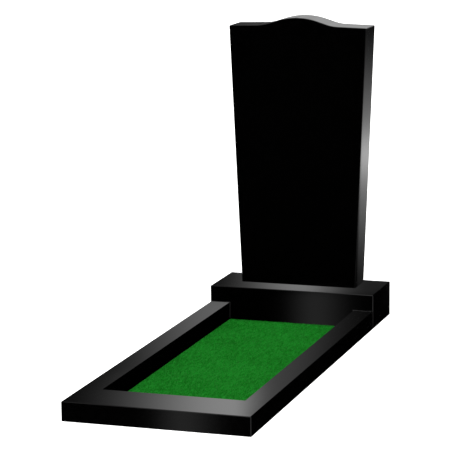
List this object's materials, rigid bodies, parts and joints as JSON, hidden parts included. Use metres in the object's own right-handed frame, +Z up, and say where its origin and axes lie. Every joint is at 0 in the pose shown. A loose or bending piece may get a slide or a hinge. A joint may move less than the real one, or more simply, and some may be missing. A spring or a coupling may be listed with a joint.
{
  "type": "headstone with plinth and kerbed grave bed",
  "caption": "Tapered black granite headstone with a wave crest, standing on a plinth, with a low granite kerb around a bed of green turf in front of it.",
  "frame": {"origin": "at ground level, under the middle of the whole set's box", "axes": "+X across the grave to the right of someone who faces the headstone, +Y from the foot of the bed to the headstone, +Z up"},
  "size_m": [0.6, 1.64, 1.0753],
  "materials": {
    "black_granite": "mirror polish, near black with very fine dark grey grains",
    "green_turf": "short dense pile, matte"
  },
  "bodies": {
    "root": {"headstone": "black_granite", "plinth": "black_granite", "kerb_front": "black_granite", "kerb_left": "black_granite", "kerb_right": "black_granite", "turf": "green_turf"}
  },
  "joints": []
}
